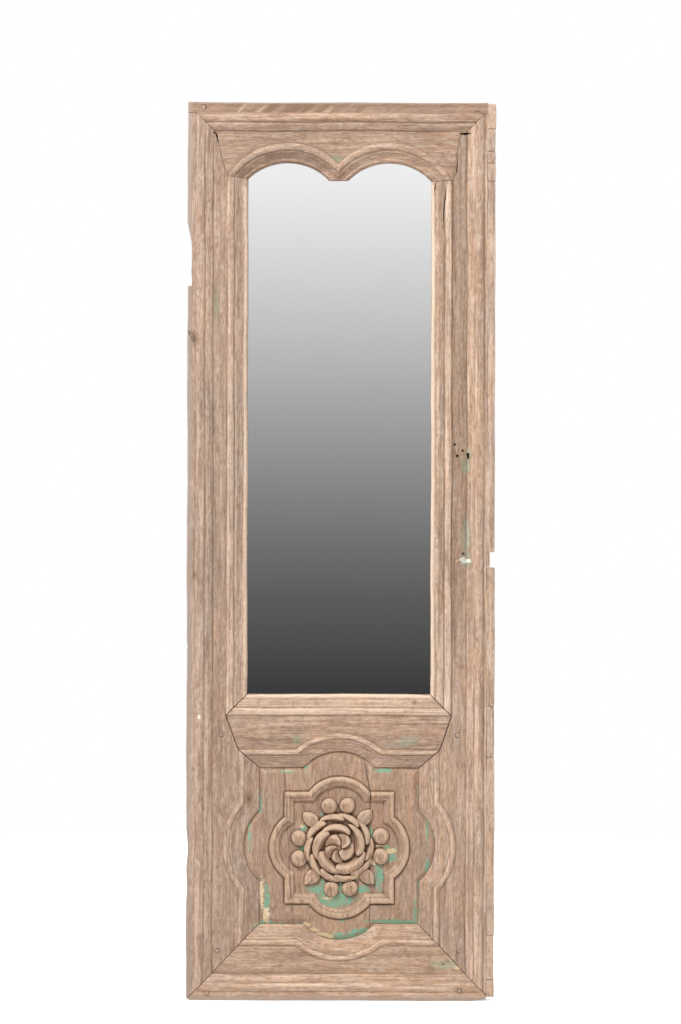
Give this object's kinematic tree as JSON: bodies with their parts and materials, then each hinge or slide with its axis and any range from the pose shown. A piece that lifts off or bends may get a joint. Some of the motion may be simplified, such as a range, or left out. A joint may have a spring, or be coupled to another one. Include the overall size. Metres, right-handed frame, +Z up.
{
  "type": "carved door leaf wall mirror",
  "caption": "Tall wall mirror made from a weathered, washed-wood door leaf, with two arches over the glass and a carved rose in a quatrefoil panel below.",
  "frame": {"origin": "middle of the top rail's back face, 50 mm below the top of the leaf and level with the wall", "axes": "+X to the viewer's right, +Y from the carved front into the wall, +Z up"},
  "size_m": [0.6145, 0.0456, 1.795],
  "materials": {
    "washed_teak": "bleached, open-grained and dry, with worn pale edges and remains of turquoise paint",
    "pale_teak": "bleached and dry",
    "new_teak": "bleached, a little yellower than its neighbours",
    "peg_wood": "end grain, dull",
    "plywood": "plain, unpainted",
    "silvered_glass": "polished",
    "steel": "zinc plated"
  },
  "bodies": {
    "leaf": {"bottom_rail": "washed_teak", "edge_brad_1": "steel", "edge_brad_2": "steel", "edge_brad_3": "steel", "edge_brad_4": "steel", "edge_brad_5": "steel", "edge_strip_01": "pale_teak", "edge_strip_02": "pale_teak", "edge_strip_03": "pale_teak", "edge_strip_04": "new_teak", "edge_strip_05": "pale_teak", "edge_strip_06": "pale_teak", "edge_strip_07": "pale_teak", "edge_strip_08": "pale_teak", "edge_strip_09": "pale_teak", "edge_strip_10": "pale_teak", "glazing_pin_1": "steel", "glazing_pin_2": "steel", "glazing_pin_3": "steel", "glazing_pin_4": "steel", "glazing_pin_5": "steel", "glazing_pin_6": "steel", "glazing_strip_bottom": "plywood", "glazing_strip_left": "plywood", "glazing_strip_right": "plywood", "glazing_strip_top": "plywood", "hanger_plate_left": "steel", "hanger_plate_right": "steel", "hanger_screw_left": "steel", "hanger_screw_right": "steel", "joint_peg_1": "peg_wood", "joint_peg_2": "peg_wood", "joint_peg_3": "peg_wood", "joint_peg_4": "peg_wood", "joint_peg_5": "peg_wood", "joint_peg_6": "peg_wood", "joint_peg_7": "peg_wood", "mid_rail": "washed_teak", "mirror_backing": "plywood", "mirror_glass": "silvered_glass", "panel_board_left": "washed_teak", "panel_board_middle": "washed_teak", "panel_board_right": "washed_teak", "stile_left": "washed_teak", "stile_right": "washed_teak", "top_rail": "washed_teak"},
    "ring_left": {"hanger_ring_left": "steel"},
    "ring_right": {"hanger_ring_right": "steel"}
  },
  "joints": [
    {"name": "ring_left_swing", "type": "hinge", "parent": "leaf", "child": "ring_left", "pos_m": [-0.25, -0.003, -0.245], "axis": [1, 0, 0], "range_deg": [0, 170]},
    {"name": "ring_right_swing", "type": "hinge", "parent": "leaf", "child": "ring_right", "pos_m": [0.246, -0.003, -0.245], "axis": [1, 0, 0], "range_deg": [0, 170]}
  ]
}
